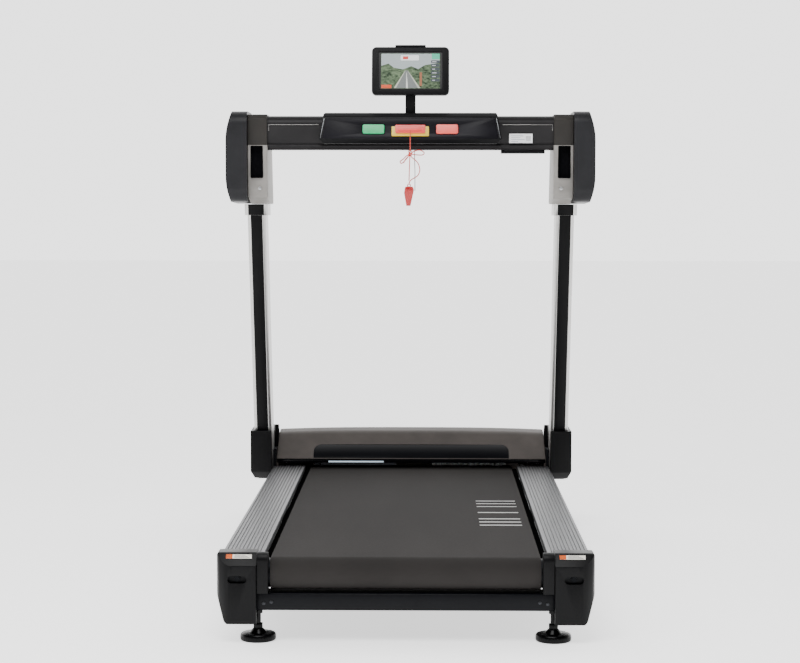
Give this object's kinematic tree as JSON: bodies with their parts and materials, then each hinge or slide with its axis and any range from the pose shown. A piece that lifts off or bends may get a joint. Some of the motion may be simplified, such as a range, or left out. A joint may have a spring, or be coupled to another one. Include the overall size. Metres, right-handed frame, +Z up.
{
  "type": "treadmill",
  "caption": "Flat-deck motorised running machine with ribbed foot rails, a front motor hood, leaning uprights and a crossbar console that carries a safety key and a tablet holder.",
  "frame": {"origin": "on the floor, under the middle of the machine's overall length and width", "axes": "+X to the user's right, +Y the way the user faces, from the rear caps to the motor hood, +Z up"},
  "size_m": [0.968, 1.9, 1.3402],
  "materials": {
    "painted_steel": "satin",
    "beam_paint": "satin",
    "board": "matt",
    "rubber": "matt",
    "belt": "matt",
    "aluminium": "brushed",
    "trim": "satin",
    "plastic": "satin",
    "hood": "satin",
    "gloss": "gloss",
    "bright_steel": "turned",
    "cast": "satin",
    "head": "satin",
    "green": "satin",
    "red": "satin",
    "yellow": "satin",
    "cord_red": "woven",
    "cord_black": "woven"
  },
  "bodies": {
    "frame": {"side_tubes": "painted_steel", "cross_members": "painted_steel", "rear_beam": "beam_paint", "deck_board": "board", "deck_cushions": "rubber", "foot_rail_left": "aluminium", "foot_rail_right": "aluminium", "rear_cap_left": "plastic", "rear_cap_right": "plastic", "roller_guards": "plastic", "running_belt": "belt", "roller_axles": "bright_steel", "tension_bolts": "bright_steel", "motor": "cast", "drive_belt": "rubber", "motor_controller": "cast", "belly_pan": "plastic", "motor_hood": "hood", "hood_inset": "gloss", "power_inlet": "plastic", "wheel_brackets": "painted_steel", "wheel_axles": "bright_steel", "upright_left": "aluminium", "upright_right": "aluminium", "upright_trims": "trim", "boots": "plastic", "upright_collars": "plastic", "head_bracket_left": "head", "head_bracket_right": "head", "side_pod_left": "plastic", "side_pod_right": "plastic", "bracket_screws": "bright_steel", "crossbar": "plastic", "console_housing": "gloss", "console_panel": "gloss", "key_frame": "yellow", "key_tether": "cord_black", "receiver_box": "plastic", "holder_post": "painted_steel"},
    "front_drum": {"front_roller": "bright_steel", "front_bearings": "bright_steel", "drive_pulley": "cast"},
    "rear_drum": {"rear_roller": "bright_steel", "rear_bearings": "bright_steel"},
    "rotor": {"motor_rotor": "cast"},
    "wheel_left": {"transport_wheel_left": "rubber"},
    "wheel_right": {"transport_wheel_right": "rubber"},
    "foot_left": {"levelling_foot_left": "gloss"},
    "foot_right": {"levelling_foot_right": "gloss"},
    "start": {"start_button": "green"},
    "stop": {"stop_button": "red"},
    "key": {"safety_key": "red", "key_cord": "cord_red", "key_clip": "red"},
    "holder": {"tablet_cradle": "plastic", "tablet": "gloss", "tablet_screen": "gloss"},
    "switch": {"power_switch": "red"},
    "clip_lever": {"clip_lever": "red"},
    "clamp": {"holder_clamp": "plastic"}
  },
  "joints": [
    {"name": "front_roller_spin", "type": "hinge", "parent": "frame", "child": "front_drum", "pos_m": [0, 0.6, 0.1417], "axis": [1, 0, 0], "continuous": true},
    {"name": "rear_roller_spin", "type": "hinge", "parent": "frame", "child": "rear_drum", "pos_m": [0, -0.9007, 0.1417], "axis": [1, 0, 0], "continuous": true},
    {"name": "motor_spin", "type": "hinge", "parent": "frame", "child": "rotor", "pos_m": [-0.25, 0.79, 0.174], "axis": [1, 0, 0], "continuous": true},
    {"name": "wheel_left_spin", "type": "hinge", "parent": "frame", "child": "wheel_left", "pos_m": [-0.352, 0.83, 0.038], "axis": [1, 0, 0], "continuous": true},
    {"name": "wheel_right_spin", "type": "hinge", "parent": "frame", "child": "wheel_right", "pos_m": [0.352, 0.83, 0.038], "axis": [1, 0, 0], "continuous": true},
    {"name": "foot_left_turn", "type": "hinge", "parent": "frame", "child": "foot_left", "pos_m": [-0.312, -0.91, 0], "axis": [0, 0, 1], "continuous": true},
    {"name": "foot_right_turn", "type": "hinge", "parent": "frame", "child": "foot_right", "pos_m": [0.312, -0.91, 0], "axis": [0, 0, 1], "continuous": true},
    {"name": "start_press", "type": "slide", "parent": "frame", "child": "start", "axis": [0, 0.973, -0.2309], "range_m": [0, 0.0025], "stiffness_N_per_m": 400, "springref_m": -0.002},
    {"name": "stop_press", "type": "slide", "parent": "frame", "child": "stop", "axis": [0, 0.973, -0.2309], "range_m": [0, 0.0025], "stiffness_N_per_m": 400, "springref_m": -0.002},
    {"name": "key_pull", "type": "slide", "parent": "frame", "child": "key", "axis": [0, -0.973, 0.2309], "range_m": [0, 0.03]},
    {"name": "holder_tilt", "type": "hinge", "parent": "frame", "child": "holder", "pos_m": [0, 0.19674, 1.2472], "axis": [1, 0, 0], "range_deg": [-25, 12]},
    {"name": "power_rocker", "type": "hinge", "parent": "frame", "child": "switch", "pos_m": [0.206, 0.939, 0.13], "axis": [1, 0, 0], "range_deg": [0, 14]},
    {"name": "clip_open", "type": "hinge", "parent": "key", "child": "clip_lever", "pos_m": [-0.003, 0.1136, 0.95], "axis": [1, 0, 0], "range_deg": [0, 16], "stiffness_Nm_per_rad": 0.02, "springref_deg": -17.19},
    {"name": "clamp_lift", "type": "slide", "parent": "holder", "child": "clamp", "axis": [0, 0.2079, 0.9781], "range_m": [0, 0.015], "stiffness_N_per_m": 300, "springref_m": -0.006}
  ],
  "couplings": [
    {"joint": "rear_roller_spin", "follows": "front_roller_spin", "ratio": 1},
    {"joint": "motor_spin", "follows": "front_roller_spin", "ratio": 2.25}
  ]
}
